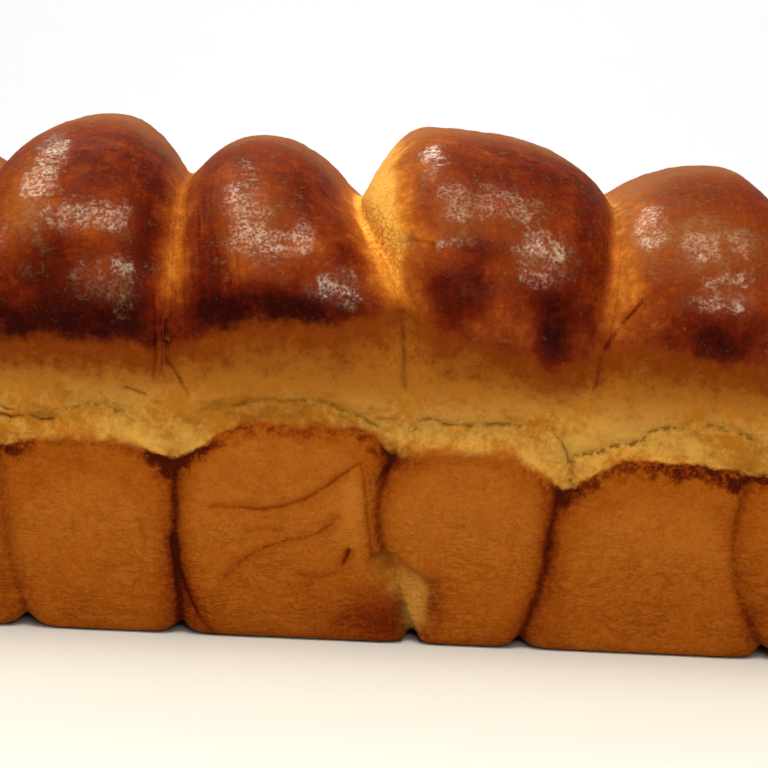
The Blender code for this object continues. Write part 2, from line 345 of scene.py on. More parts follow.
# %% Lay a web in a valley
def make_web(seam):
    radius, top = WEBS[seam]
    half = WEB_REACH * BELLY_HALF_WIDTH
    foot = BELLY_HEIGHT - WEB_FOOT_DROP
    curve = bpy.data.curves.new(f"web_{seam}", "CURVE")
    curve.dimensions = "3D"
    curve.bevel_depth = radius
    curve.bevel_resolution = 6
    curve.use_fill_caps = True
    spline = curve.splines.new("POLY")
    spline.points.add(WEB_STEPS)
    for i, point in enumerate(spline.points):
        share = 2.0 * i / WEB_STEPS - 1.0
        z = blend(foot, top, (1.0 - abs(share) ** WEB_SQUARENESS) ** (1.0 / WEB_SQUARENESS))
        x = seam_x(seam + 1, np.array([z]), np.array([0.5 + 0.5 * share]))[0]
        point.co = (x, half * share, z, 1.0)
        point.radius = 1.0 - WEB_TAPER * share * share
    rope = bpy.data.objects.new(f"web_{seam}", curve)
    bpy.context.scene.collection.objects.link(rope)
    bpy.context.view_layer.update()
    mesh = bpy.data.meshes.new_from_object(rope.evaluated_get(bpy.context.evaluated_depsgraph_get()))
    bpy.data.objects.remove(rope, do_unlink=True)
    return mesh


# %% [markdown]
# ## One bread
#
# The rolls and webs overlap, and a voxel remesh melts them into one skin of small even squares, as baking
# does. The squares are 0.75 mm, fine enough for a crack or a wrinkle. The skin is then relaxed: a little
# everywhere, to lose the voxels' steps, and more in the valleys above the tin, where soft dough has no
# sharp fold.

# %% Melt the rolls together
VOXEL = 0.75


def melt(meshes):
    bm = bmesh.new()
    for mesh in meshes:
        bm.from_mesh(mesh)
        bpy.data.meshes.remove(mesh)
    bmesh.ops.remove_doubles(bm, verts=bm.verts, dist=0.0001)
    rough = bpy.data.meshes.new("rough")
    bm.to_mesh(rough)
    bm.free()
    lump = bpy.data.objects.new("lump", rough)
    bpy.context.scene.collection.objects.link(lump)
    remesh = lump.modifiers.new("remesh", "REMESH")
    remesh.mode = "VOXEL"
    remesh.voxel_size = VOXEL
    bpy.context.view_layer.update()
    skin = bpy.data.meshes.new_from_object(lump.evaluated_get(bpy.context.evaluated_depsgraph_get()))
    bpy.data.objects.remove(lump, do_unlink=True)
    bpy.data.meshes.remove(rough)
    return skin


def points_of(mesh):
    points = np.zeros(len(mesh.vertices) * 3)
    mesh.vertices.foreach_get("co", points)
    return points.reshape(-1, 3)


def corners_of(mesh):
    corners = np.zeros(len(mesh.loops), int)
    mesh.loops.foreach_get("vertex_index", corners)
    return corners.reshape(-1, 4)


sphere_mesh, sphere_places = unit_sphere()
pieces = []
for k in range(len(ROLLS)):
    roll_mesh = sphere_mesh.copy()
    roll_mesh.vertices.foreach_set("co", uneven(roll_points(k, sphere_places)).ravel())
    pieces.append(roll_mesh)
bpy.data.meshes.remove(sphere_mesh)
pieces += [make_web(seam) for seam in range(len(SEAMS))]
skin = melt(pieces)
points = points_of(skin)
quads = corners_of(skin)
print("bread skin:", len(points), "points,", len(quads), "faces, z from", round(points[:, 2].min(), 2))


# %% Relax the skin
RELAX_SHARE = 0.5
RELAX_ROUNDS = 3
VALLEY_HALF_WIDTH = 7.0
VALLEY_SHARE = 0.6
VALLEY_ROUNDS = 16
VALLEY_SOFTENS = (66.0, 84.0)
ROOM = 0.4


def relax(points, edges, share, rounds):
    """Moves each point part of the way to the middle of its neighbours."""
    a, b = edges.T
    count = np.bincount(np.concatenate([a, b]), minlength=len(points))[:, None]
    for _ in range(rounds):
        middle = np.zeros_like(points)
        for axis in range(3):
            middle[:, axis] = np.bincount(a, points[b, axis], len(points))
            middle[:, axis] += np.bincount(b, points[a, axis], len(points))
        points = points + (middle / count - points) * share
    return points


def distances_to_seams(points):
    across = 0.5 + 0.5 * points[:, 1] / BELLY_HALF_WIDTH
    return np.stack([points[:, 0] - seam_x(k, points[:, 2], across) for k in range(1, len(ROLLS))])


edges = np.zeros(len(skin.edges) * 2, int)
skin.edges.foreach_get("vertices", edges)
edges = edges.reshape(-1, 2)
points = relax(points, edges, RELAX_SHARE, RELAX_ROUNDS)
in_valley = np.abs(distances_to_seams(points)).min(axis=0) < VALLEY_HALF_WIDTH
softness = np.where(in_valley, ease(*VALLEY_SOFTENS, points[:, 2]), 0.0)[:, None] * VALLEY_SHARE
points = relax(points, edges, softness, VALLEY_ROUNDS)

# The bread takes the solid's box, with a little room left for the relief everywhere but under its base.
low, high = points.min(axis=0), points.max(axis=0)
room_below = np.array([ROOM, ROOM, 0.0])
room_above = np.array([ROOM, ROOM, ROOM])
new_size = box_high - box_low - room_below - room_above
points = (points - low) / (high - low) * new_size + box_low + room_below
skin.vertices.foreach_set("co", (points * MM).ravel())
print("bread box, mm:", np.round(points.min(axis=0), 1), np.round(points.max(axis=0), 1))

# %% [markdown]
# ## Marks on the skin
#
# Colour and relief both need to know where they are on the bread: how far from a seam, how high above the
# rim, how high above the lower edge of the egg wash, how near to a crack. Each of these is measured once,
# for every point, and kept as an attribute of the mesh. Distances keep their sign, so a line stays sharp
# between points. Lines seen in the photograph are given by a few places on the front face, as x and z, each
# crack and fold with a strength before them. The back and the ends follow a wave instead.

# %% Lines seen on the front face
WASH_LINE = (
    (-153, 76), (-135, 77), (-106, 73), (-94, 74.2), (-80, 74.6), (-66, 74), (-59, 73), (-49, 74.5),
    (-37, 80), (-25, 81.3), (-13, 81), (1, 86), (11, 79.5), (26, 77), (33, 75.5), (38, 72), (44, 74),
    (50, 77), (59, 79.5), (74, 76.6), (88, 75), (100, 72), (125, 77), (153, 75),
)
CRACKS = (
    (1.0, ((-45.9, 57.9), (-42, 59.9), (-37.7, 59.4), (-34.6, 60.8), (-30, 61.7), (-27, 61.1), (-19.5, 61.7),
           (-15.5, 60.9), (-11.6, 59.3), (-3.8, 56))),
    (1.0, ((6, 56), (8.8, 58.3), (15, 56.9), (21.1, 57.2), (27.2, 57.8), (33.9, 58), (36.9, 59.6))),
    (0.8, ((39.2, 57.7), (41.9, 53.7), (44.7, 48.5), (45, 43.9))),
    (1.0, ((45.3, 50.4), (51.3, 52.2), (55.9, 53.8), (60.5, 54.8), (63.1, 57.7), (67.6, 59), (70.5, 59.1),
           (74.1, 61.5), (78.1, 60.1), (84.3, 59.1), (89, 56.9))),
    (0.6, ((-80, 57), (-72, 58.2), (-66, 57.0))),
)
FOLDS = (
    (1.0, ((-43.1, 33.9), (-36.2, 33.7), (-29.8, 33.7), (-23.7, 35.2), (-17.6, 38.3), (-12.6, 42.4),
           (-7.3, 46.3))),
    (0.8, ((-7.3, 46), (-6.3, 43), (-5.6, 38.4), (-4.8, 32), (-3.7, 25.6), (-3.3, 22.6))),
    (0.7, ((-12.2, 32.5), (-14.3, 30), (-18.2, 27.3), (-25.8, 25.4), (-31.9, 22.8), (-36.5, 19.2),
           (-39.4, 15.9))),
    (0.6, ((-34.3, 27.6), (-29.6, 28.6), (-25.9, 28))),
    (0.7, ((-21.6, 17.5), (-17.8, 16.4), (-13.1, 17.4), (-7.7, 19.8))),
    (2.4, ((-9.2, 23.8), (-9.6, 22.0), (-10.4, 20.4))),
    (1.1, ((-53.0, 26), (-52.3, 21), (-51.0, 16.7), (-48.5, 10.5), (-45.5, 5), (-41.8, 0))),
    (0.5, ((-61.3, 29.4), (-59.8, 23.8))),
    (1.3, ((-96, 54.8), (-93, 54.2), (-90.5, 54.6))),
    (1.3, ((-88.2, 54.6), (-85.6, 53.6), (-83.0, 54.0))),
    (0.8, ((-64.9, 63.2), (-60.3, 61.9))),
    (1.2, ((-59.5, 47.3), (-56.4, 45.2), (-53.9, 44.6), (-51.4, 45.4), (-48.4, 47.6))),
    (1.0, ((58.6, 89.7), (53.7, 83.4), (49.7, 76), (48.6, 68.4))),
    (1.2, ((-55.4, 80), (-54.9, 71), (-54.4, 69.2), (-52.6, 67.0), (-49.8, 62.5))),
    (0.8, ((-58.6, 86), (-58.0, 79), (-57.6, 71), (-58.2, 66))),
    (0.7, ((1.5, 101.2), (3.8, 101.8), (7.5, 101.4))),
    (0.9, ((1.7, 84.5), (2.4, 75.4), (2.8, 66))),
    (0.9, ((1.0, 49.9), (-0.9, 44.7), (-2.9, 41))),
)
print("cracks:", len(CRACKS), "folds:", len(FOLDS))


# %% Distances to the lines
FAR = 6.0


def smooth_path(line, steps=4):
    """More places along a line, on a smooth curve through the given ones."""
    stations = np.arange(len(line))
    between = np.linspace(0.0, len(line) - 1.0, steps * (len(line) - 1) + 1)
    xs, zs = zip(*line)
    return list(zip(smooth_line(stations, xs, between), smooth_line(stations, zs, between)))


def line_distance(line, x, z):
    """Signed distance to a line of straight stretches, and how far past the line's ends a point lies."""
    nearest = np.full(len(x), 1e6)
    past_end = np.zeros(len(x))
    last = len(line) - 2
    for i, ((x0, z0), (x1, z1)) in enumerate(zip(line[:-1], line[1:])):
        dx, dz = x1 - x0, z1 - z0
        length = math.hypot(dx, dz)
        along = ((x - x0) * dx + (z - z0) * dz) / length
        kept = np.clip(along, 0.0, length)
        gone_x, gone_z = x - x0 - kept * dx / length, z - z0 - kept * dz / length
        distance = np.hypot(gone_x, gone_z)
        side = np.where(dx * gone_z - dz * gone_x < 0.0, -1.0, 1.0)
        over = np.where((along < 0.0) & (i == 0), -along, 0.0)
        over += np.where((along > length) & (i == last), along - length, 0.0)
        nearer = distance < np.abs(nearest)
        nearest = np.where(nearer, distance * side, nearest)
        past_end = np.where(nearer, over, past_end)
    return nearest, past_end


def nearest_line(lines, x, z):
    """Signed distance to the nearest of several lines, and that line's strength, faded past its ends."""
    found = np.full(len(x), 1e6)
    strength = np.zeros(len(x))
    for line_strength, line in lines:
        distance, past_end = line_distance(smooth_path(line), x, z)
        faded = line_strength * (1.0 - ease(0.0, 1.5, past_end)) * (1.0 - ease(1.5, 3.5, np.abs(distance)))
        nearer = np.abs(distance) < np.abs(found)
        found = np.where(nearer, distance, found)
        strength = np.where(nearer, faded, strength)
    return np.clip(found, -FAR, FAR), strength


# %% Measure the marks
FRONT_Y = -30.0
BACK_Y = 10.0
RAISED_X = -7.0
RAISED_SPAN = 6.0
RAISED_BY = 3.2
BACK_CRACK_HEIGHT = 58.5
BACK_CRACK_DEPTH = 0.8
VIEW_HALF_LENGTH = 92.0
x, y, z = points.T
seams = distances_to_seams(points)
nearest_seam = np.abs(seams).argmin(axis=0)
from_seam = np.take_along_axis(seams, nearest_seam[None], axis=0)[0]
front = 1.0 - ease(FRONT_Y, BACK_Y, y)
raised = RAISED_BY * np.exp(-(((x - RAISED_X) / RAISED_SPAN) ** 2)) * front
above_rim = z - RIM_HEIGHT - rim_shift(x) - raised
wave = np.sin(x / 11.0 + 1.0) + 0.6 * np.sin(x / 4.7) + np.sin(y / 9.0)
above_wash = z - np.interp(x, *zip(*WASH_LINE)) - 2.2 * wave * (1.0 - front)
on_front = y < FRONT_Y
crack = z - BACK_CRACK_HEIGHT - 1.3 * wave - 0.8 * np.sin(x / 2.3)
crack_depth = np.full(len(x), BACK_CRACK_DEPTH)
in_view = on_front & (np.abs(x) < VIEW_HALF_LENGTH)
crack[in_view], crack_depth[in_view] = nearest_line(CRACKS, x[in_view], z[in_view])
fold = np.full(len(x), FAR)
fold_depth = np.zeros(len(x))
fold[on_front], fold_depth[on_front] = nearest_line(FOLDS, x[on_front], z[on_front])
print("above the rim:", round((above_rim > 0).mean(), 2), "washed:", round((above_wash > 0).mean(), 2))

# %% [markdown]
# ## How brown each place baked
#
# The domes took the most heat and the sides of the valleys the least, so the crust is brown on top and
# fades to gold beside a seam. Where the wash pooled it went nearly black-red. On the crowns and the
# shoulders, and under the glossy places, the brown is lightened towards tan: a painted sheen, the shine of
# the crust painted into its colour. Some places of it are glossy and others matte. All of these are oval
# patches on the front, listed as a place, two half sizes and a strength.
# The back gets one dark patch for each roll.

# %% Patches seen on the domes
BROWNNESS = 0.60
BACK_PATCH = 0.34
BACK_GLOSS = 0.45
# How far the gold beside each seam reaches to its left and its right, and how much brown it takes away.
GLOW = ((4.0, 4.0, 0.4), (3.4, 3.8, 0.36), (4.5, 7.5, 0.58), (2.5, 6.0, 0.35), (5.0, 6.0, 0.4))
GLOW_WIDENS = (0.0, 0.0, 1.3, 0.3, 0.0)
DARK_PATCHES = (
    (-30, 83, 18, 5.4, 0.7), (-78, 78, 21, 8, 0.35), (-86, 94, 8, 7, 0.2), (38, 84, 4.5, 10, 0.44),
    (13.5, 85.5, 4, 6, 0.2), (18, 92, 4, 6, 0.2), (5, 108, 4, 9, 0.16), (78, 82, 10, 6.5, 0.36),
    (28, 89, 8, 5, 0.12), (22, 82, 7, 4, -0.12), (11, 91, 5, 4, 0.16), (-98, 78, 10, 6, 0.3),
    (-70, 80, 8, 4, 0.16), (-93, 108, 6, 14, -0.14), (-44, 110, 5, 8, -0.1), (25, 90, 6, 10, -0.12),
    (-22, 112, 7, 7, 0.08), (-130, 82, 16, 7, 0.3), (125, 81, 14, 6, 0.3), (27, 118, 20, 6, 0.1),
    (-72, 118, 14, 8, 0.05), (46, 96, 4, 18, 0.14), (-62, 92, 4, 14, 0.2), (-46, 96, 4, 16, 0.14),
    (-12, 94, 5, 9, 0.12), (19, 101, 4, 3, 0.15), (-14, 80, 8, 4, -0.1), (-60, 106, 4, 14, 0.16),
    (4, 92, 6, 7, 0.16), (20, 94, 16, 12, 0.1), (68, 100, 14, 12, 0.05), (-80, 96, 16, 5, 0.08),
    (-84, 87, 16, 4, 0.1),
)
# Painted sheen: tan patches where the crust shines, painted into its colour.
PAINTED_SHEEN_PATCHES = (
    (-90, 106, 8, 14, 0.7), (-74, 103, 12, 6, 0.5), (-68, 90, 12, 6, 0.4), (-35, 104, 11, 11, 0.6),
    (20, 109, 22, 8, 0.5), (34, 100, 10, 8, 0.5), (10, 97, 10, 5, 0.35), (72, 104, 20, 12, 0.75),
    (76, 92, 12, 6, 0.45), (-12, 90, 9, 5, 0.4),
)
STRANDS = (-45, 98, 8, 15)
GLOSSY_PATCHES = (
    (-89, 110, 5, 9, 1), (-87, 119, 5, 5, 0.8), (-78, 104.5, 15, 4.5, 0.8), (-69, 90, 11, 6.5, 0.8),
    (-95, 101, 5, 8, 0.7), (-37.5, 108, 6, 9, 0.9), (-33, 98, 9, 5, 1), (-23.5, 101, 3.6, 5.5, 1),
    (-14, 90, 8, 5, 0.9), (8, 120, 3.6, 5, 0.8), (13, 113, 5, 6.5, 0.7), (25, 113, 9, 6, 0.7),
    (6, 101, 9, 2.4, 0.5), (36, 99, 8, 8, 0.8), (62, 107, 5, 6.5, 0.7), (73, 104, 4.6, 4.6, 1),
    (83.5, 104.5, 5, 4, 0.8), (80, 92, 8, 6, 1),
)
WEB_SHARE = (0.7, 0.5, 1.0, 0.75, 0.7)
print("patches:", len(DARK_PATCHES), "dark,", len(PAINTED_SHEEN_PATCHES), "sheen,", len(GLOSSY_PATCHES), "glossy")


# %% Helpers for oval patches
def patch(mid_x, mid_z, half_x, half_z):
    """1 in the middle of a soft oval patch and 0 outside it."""
    return np.exp(-(((x - mid_x) / half_x) ** 2) - ((z - mid_z) / half_z) ** 2)


def blotch(mid_x, mid_z, half_x, half_z):
    """1 inside an oval patch and 0 outside it, with an edge that noise can fray."""
    return 1.0 - ease(0.3, 1.6, np.hypot((x - mid_x) / half_x, (z - mid_z) / half_z))


def total(table):
    """All the front's patches of a table, added up."""
    return sum(strength * patch(*oval) for *oval, strength in table) * front


def strongest(table, shape):
    """The strongest of the front's patches of a table at each place."""
    return np.maximum.reduce([strength * shape(*oval) for *oval, strength in table]) * front


# %% Brown, gloss and bloom at every point
VALLEY_RISE = (74.0, 94.0)
CROWN_RISE = (96.0, 116.0)
glow = np.array(GLOW)[nearest_seam]
widens = 1.0 + np.array(GLOW_WIDENS)[nearest_seam] * ease(92.0, 106.0, z)
side_width = np.where(from_seam > 0, glow[:, 1] * widens, glow[:, 0])
valley = np.exp(-((from_seam / side_width) ** 2)) * ease(*VALLEY_RISE, z)
brown = BROWNNESS + 0.06 * ease(90.0, 125.0, z) - glow[:, 2] * valley + total(DARK_PATCHES)
for k, roll in enumerate(ROLLS):
    place = (roll["crest"][0] + 3.0 * math.sin(2.0 * k), 83.0 + 2.0 * math.cos(3.0 * k))
    brown += BACK_PATCH * patch(*place, 15.0 + 3.0 * math.sin(k), 6.0) * (1.0 - front)
gloss = strongest(GLOSSY_PATCHES, blotch)
gloss = np.maximum(gloss, BACK_GLOSS * ease(90.0, 100.0, z) * (1.0 - front))
gloss *= 1.0 - 0.7 * ease(-28.0, -12.0, y) * (1.0 - ease(12.0, 28.0, y))
# Painted sheen: the brown is lightened along the crowns and under the glossy patches.
crown_sheen = (1.0 - ease(2.0, 40.0, np.abs(y))) * ease(*CROWN_RISE, z)
bloom = np.clip(strongest(PAINTED_SHEEN_PATCHES, patch) + 0.85 * crown_sheen, 0.0, 1.0)
brown = np.clip(brown - 0.03 * gloss - 0.05 * crown_sheen, 0.0, 1.0)
strands = 0.12 + 0.5 * patch(*STRANDS) * front
print("brownness from", round(brown.min(), 2), "to", round(brown.max(), 2))

# %% [markdown]
# ## How dark each place of the pan side is, from baking and from painted shade
#
# The pan side is an even tan where the dough pressed flat on the tin. It is darker outside the round patch
# where each roll's end touched the metal. It is also darker low down, which is painted shade, and beside the
# seams, where a dark line has painted shade around it. A dark ragged edge follows the rim: partly burnt
# crust, partly painted shadow under the dome that overhangs it. Two dark spots low beside the torn patch are
# a painted shadow. Some places of the torn band are paler than others, and low on one seam the skin tore off
# and left bare crumb. The ovals are written as before, and the strength of the burnt edge and its shadow is
# given at a few places along the loaf.

# %% Tone of the pan side
TOUCHING = (
    (-75, 15, 19, 25), (19, 25, 20.5, 22), (67, 15, 22, 25), (-26, 28, 24, 26),
)
# The dark edge under the rim: partly burnt crust, partly painted shadow under the overhanging dome.
RIM_BURN_AND_SHADE = (
    (-153, 0.5), (-110, 0.3), (-100, 0.9), (-90, 0.8), (-86, 0.25), (-62, 0.3), (-57, 0.95),
    (-48, 0.95), (-40, 0.5), (-12, 0.42), (-5, 0.7), (0, 0.5), (8, 0.2), (30, 0.15), (42, 0.5),
    (48, 0.75), (60, 0.8), (84, 1.0), (95, 0.8), (110, 0.4), (153, 0.6),
)
PALE_PLACES = (
    (-30, 57, 17, 5, -0.9), (-60, 51, 11, 4, 0.5), (48, 50, 9, 7, 0.6), (66, 56, 18, 5, 0.6),
    (16, 53, 14, 3, 0.3), (-1, 21, 4, 3.5, -1), (84, 54, 8, 4, -0.5), (-88, 55, 8, 3, -0.6),
)
# How dark each seam is: a dark line in it, with painted shade around it.
SEAM_DARK_AND_SHADE = (0.3, 0.92, 0.65, 0.72, 0.38)
# Dark and pale spots; the two low beside the torn patch, at x -8 and 12.6, are a painted shadow.
PAN_SPOTS_AND_SHADOWS = (
    (-54.5, 46.5, 5, 2.2, 0.35), (43, 42, 3, 6, 0.35), (90, 52, 5, 3, 0.5), (1, 5, 7, 5, 0.3),
    (1, 50, 4, 4, 0.35), (-8, 34, 3.5, 10, -0.25), (40, 28, 2.5, 8, 0.25), (-8, 8, 9, 6, 0.18),
    (12.6, 12.5, 2.2, 6, 0.35),
)
TORN_PATCH = (
    (0, 20, 5, 4), (6, 15, 5.5, 4), (8, 7, 4, 7.5),
)
# Painted shade: the pan side is darker towards the bottom.
LOW_PAINTED_SHADE = 0.17
UNTOUCHED_TONE = 0.12
touching = np.zeros(len(x))
for mid_x, mid_z, half_x, half_z in TOUCHING:
    reach = np.hypot((x - mid_x) / half_x, (z - mid_z) / half_z)
    touching = np.maximum(touching, 1.0 - ease(0.90, 1.12, reach))
tone = LOW_PAINTED_SHADE * (1.0 - ease(8.0, 36.0, z)) + UNTOUCHED_TONE * (1.0 - touching) * front + total(PAN_SPOTS_AND_SHADOWS)
pale = total(PALE_PLACES)
burn = np.interp(x, *zip(*RIM_BURN_AND_SHADE))
seam_dark = np.array(SEAM_DARK_AND_SHADE)[nearest_seam] * (1.0 - ease(5.0, 8.0, np.abs(from_seam)))
torn_patch = sum(patch(*oval) for oval in TORN_PATCH) * front
print("pan tone from", round(tone.min(), 2), "to", round(tone.max(), 2))

# %% [markdown]
# ## Small forms placed one by one
#
# A few forms are one of a kind: a flap of dough pressed up beside a seam, beads of wash, and pits. Each is
# a soft bump of a given height. The stretch marks of the domes run along their flanks, so they need to know
# how far across its own roll a place lies, whichever way the roll leans.

# %% Lift and place across each roll
LIFTS = (
    (-8, 33, 3.2, 9, 0.8), (19, 94.3, 1, 1, 0.7), (37.2, 73, 0.9, 0.9, 0.6), (61.5, 81.6, 1, 1, 0.6),
    (7.4, 82.4, 1, 1, -0.5), (44.8, 103.6, 1.6, 1.2, -0.6), (19.5, 105, 16, 2.2, -0.5),
    (38.5, 84, 5, 9, -0.5), (-69, 52.8, 4.5, 1.6, 0.7), (2, 104, 6, 2.5, 0.5), (36, 48, 6, 3, 0.4),
    (-6, 12, 4, 7, -0.5),
)
ROLL_SPAN = 50.0
ROLL_STEP = 80.0
lift = total(LIFTS)
limits = np.stack([seam_x(k, z, 0.5 + 0.5 * y / BELLY_HALF_WIDTH) for k in range(len(ROLLS) + 1)])
own = (seams > 0.0).sum(axis=0)
left_limit = np.take_along_axis(limits, own[None], axis=0)[0]
right_limit = np.take_along_axis(limits, own[None] + 1, axis=0)[0]
across_roll = ROLL_SPAN * (x - left_limit) / (right_limit - left_limit) + ROLL_STEP * own
print("lift from", round(lift.min(), 2), "to", round(lift.max(), 2))

# %% Keep the marks on the mesh
RELIEF_MARKS = {"crack_depth": crack_depth, "lift": lift}
CRUST_MARKS = {
    "from_seam": from_seam, "seam_dark": seam_dark, "above_rim": above_rim, "above_wash": above_wash,
    "crack": crack, "fold": fold, "fold_depth": fold_depth, "brown": brown, "gloss": gloss,
    "tone": tone, "burn": burn, "torn_patch": torn_patch, "pale": pale, "bloom": bloom, "strands": strands,
    "valley": valley * np.array(WEB_SHARE)[nearest_seam], "across_roll": across_roll,
}
for name, values in {**RELIEF_MARKS, **CRUST_MARKS}.items():
    mark = skin.attributes.new(name, "FLOAT", "POINT")
    mark.data.foreach_set("value", values.astype(np.float32))
print("marks:", ", ".join([*RELIEF_MARKS, *CRUST_MARKS]))

# %% [markdown]
# ## Writing node maths as sums
#
# A relief or a crust is a long sum of small terms. One small class wraps a number socket, so that Python's
# own operators add Math nodes, and one method adds any other node from its type, its settings and its
# inputs.


# %% A number that nodes work out
class Num:
    """A number that varies over the surface."""

    def __init__(self, board, socket):
        self.board = board
        self.socket = socket

    def math(self, operation, *others):
        return self.board.math(operation, self, *others)

    def __add__(self, other):
        return self.math("ADD", other)

    def __sub__(self, other):
        return self.math("SUBTRACT", other)

    def __rsub__(self, other):
        return self.board.math("SUBTRACT", other, self)

    def __mul__(self, other):
        return self.math("MULTIPLY", other)

    def __truediv__(self, other):
        return self.math("DIVIDE", other)

    def __neg__(self):
        return self.math("MULTIPLY", -1.0)

    def __abs__(self):
        return self.math("ABSOLUTE")

    __radd__ = __add__
    __rmul__ = __mul__


# %% A board that nodes are laid on
class Board:
    """A node tree, and the one method that adds nodes to it."""

    def __init__(self, tree):
        self.tree = tree
        self.tree.nodes.clear()

    def add(self, kind, settings=(), inputs=()):
        node = self.tree.nodes.new(kind)
        for name, value in dict(settings).items():
            if name == "stops":
                while len(node.color_ramp.elements) < len(value):
                    node.color_ramp.elements.new(1.0)
                for element, (place, colour) in zip(node.color_ramp.elements, value):
                    element.position = place
                    element.color = colour
            else:
                setattr(node, name, value)
        for name, value in dict(inputs).items():
            self.feed(node.inputs[name], value)
        return node

    def feed(self, socket, value):
        if isinstance(value, Num):
            value = value.socket
        if isinstance(value, bpy.types.NodeSocket):
            self.tree.links.new(value, socket)
        else:
            socket.default_value = value

    def math(self, operation, *values):
        node = self.add("ShaderNodeMath", {"operation": operation}, dict(enumerate(values)))
        return Num(self, node.outputs[0])

    def mark(self, name):
        if self.tree.bl_idname == "GeometryNodeTree":
            node = self.add("GeometryNodeInputNamedAttribute", {"data_type": "FLOAT"}, {"Name": name})
            return Num(self, node.outputs["Attribute"])
        return Num(self, self.add("ShaderNodeAttribute", {"attribute_name": name}).outputs["Fac"])

    def stretch(self, vector, factors):
        node = self.add("ShaderNodeVectorMath", {"operation": "MULTIPLY"}, {0: vector, 1: factors})
        return node.outputs[0]

    def grain(self, vector, size, detail=2.0, roughness=0.5, distortion=0.0):
        """Noise of about -0.5 to 0.5, in lumps of a size in mm that is one number or three."""
        sizes = size if isinstance(size, tuple) else (size, size, size)
        vector = self.stretch(vector, tuple(1.0 / s for s in sizes))
        inputs = {"Vector": vector, "Scale": 1.0, "Detail": detail, "Roughness": roughness}
        inputs["Distortion"] = distortion
        return Num(self, self.add("ShaderNodeTexNoise", {}, inputs).outputs[0]) - 0.5

    def streaks(self, across, height, width, length):
        """Noise like grain, in strands that run up the flank of each roll."""
        flank = self.add("ShaderNodeCombineXYZ", {}, {0: across, 1: height}).outputs[0]
        return self.grain(flank, (width, length, 1.0))

    def step(self, value, low, high):
        """0 below low, 1 above high, smooth between."""
        inputs = {"Value": value, "From Min": low, "From Max": high}
        node = self.add("ShaderNodeMapRange", {"interpolation_type": "SMOOTHSTEP"}, inputs)
        return Num(self, node.outputs[0])

    def bell(self, value, width):
        """1 where value is 0, fading over width to both sides."""
        part = value / width
        return self.math("EXPONENT", -(part * part))


# %% [markdown]
# ## The relief
#
# The fine forms are worked into the skin by Geometry Nodes, because each follows a rule along the surface:
# the torn band is craggy, with fibres that were pulled upwards, cracks run along it, creases part the rolls
# in the tin, folds cross the pan sides and the washed crust is crinkled. Every depth is a named input in
# millimetres.

# %% Depths of the relief
RELIEF = {
    "Swell": 0.7, "Crag": 1.7, "Fibre": 0.35, "Crack": 0.75, "Seam": 0.3, "Rim crease": 0.9, "Fold": 0.45,
    "Wrinkle": 0.45, "Crinkle": 0.42, "Stretch mark": 0.35, "Web crumb": 0.9, "Torn patch": 1.6,
}
TORN_BAND_TOP = (58.0, 67.0)
RIDGES_FADE = (20.0, 48.0)
FLAT_BASE = (0.4, 3.0)
print("deepest relief, mm:", max(RELIEF.values()))


